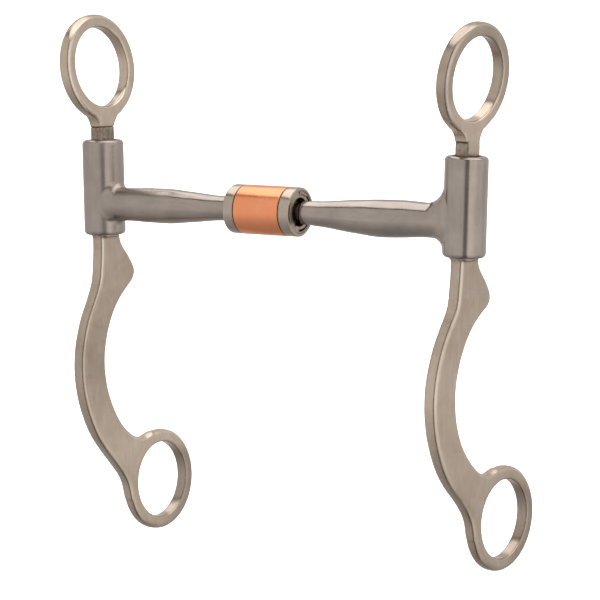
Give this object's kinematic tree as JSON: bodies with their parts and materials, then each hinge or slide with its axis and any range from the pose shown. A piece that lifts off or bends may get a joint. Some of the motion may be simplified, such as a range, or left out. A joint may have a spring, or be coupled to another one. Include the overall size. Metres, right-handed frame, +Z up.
{
  "type": "curb bit",
  "caption": "Curb bit with loose swept-back cheeks turning in sleeves, tapered cannons and a jointed copper roller mouthpiece.",
  "frame": {"origin": "the centre of the barrel in the middle of the mouthpiece", "axes": "+X along the mouthpiece to the right, +Y towards the swept-back rein rings, +Z up towards the headstall rings"},
  "size_m": [0.1563, 0.0603, 0.1808],
  "materials": {
    "cheek_steel": "satin polished",
    "cannon_steel": "satin",
    "collar_steel": "satin, turned",
    "inner_steel": "dull",
    "copper": "satin copper"
  },
  "bodies": {
    "barrel": {"barrel_core": "inner_steel", "left_collar": "collar_steel", "right_collar": "collar_steel", "left_keeper": "inner_steel", "right_keeper": "inner_steel"},
    "roller": {"copper_roller": "copper"},
    "left_ball": {"left_ball": "inner_steel"},
    "left_cannon": {"left_cannon": "cannon_steel"},
    "left_cheek": {"left_purchase": "cheek_steel", "left_shank": "cheek_steel"},
    "right_ball": {"right_ball": "inner_steel"},
    "right_cannon": {"right_cannon": "cannon_steel"},
    "right_cheek": {"right_purchase": "cheek_steel", "right_shank": "cheek_steel"}
  },
  "joints": [
    {"name": "roller_spin", "type": "hinge", "parent": "barrel", "child": "roller", "pos_m": [0, 0, 0], "axis": [1, 0, 0], "continuous": true},
    {"name": "left_fold", "type": "hinge", "parent": "barrel", "child": "left_ball", "pos_m": [-0.007, 0, 0], "axis": [0, 0, 1], "range_deg": [-3.5, 14.5]},
    {"name": "left_cannon_spin", "type": "hinge", "parent": "left_ball", "child": "left_cannon", "pos_m": [-0.007, 0, 0], "axis": [-0.9951, 0.0958, -0.0262], "continuous": true},
    {"name": "left_cheek_swivel", "type": "hinge", "parent": "left_cannon", "child": "left_cheek", "pos_m": [-0.07049, 0.00611, -0.00167], "axis": [-0.0261, 0.0025, 0.9997], "continuous": true},
    {"name": "right_fold", "type": "hinge", "parent": "barrel", "child": "right_ball", "pos_m": [0.007, 0, 0], "axis": [0, 0, 1], "range_deg": [-14.5, 3.5]},
    {"name": "right_cannon_spin", "type": "hinge", "parent": "right_ball", "child": "right_cannon", "pos_m": [0.007, 0, 0], "axis": [0.9951, 0.0958, -0.0262], "continuous": true},
    {"name": "right_cheek_swivel", "type": "hinge", "parent": "right_cannon", "child": "right_cheek", "pos_m": [0.07049, 0.00611, -0.00167], "axis": [0.0261, 0.0025, 0.9997], "continuous": true}
  ]
}
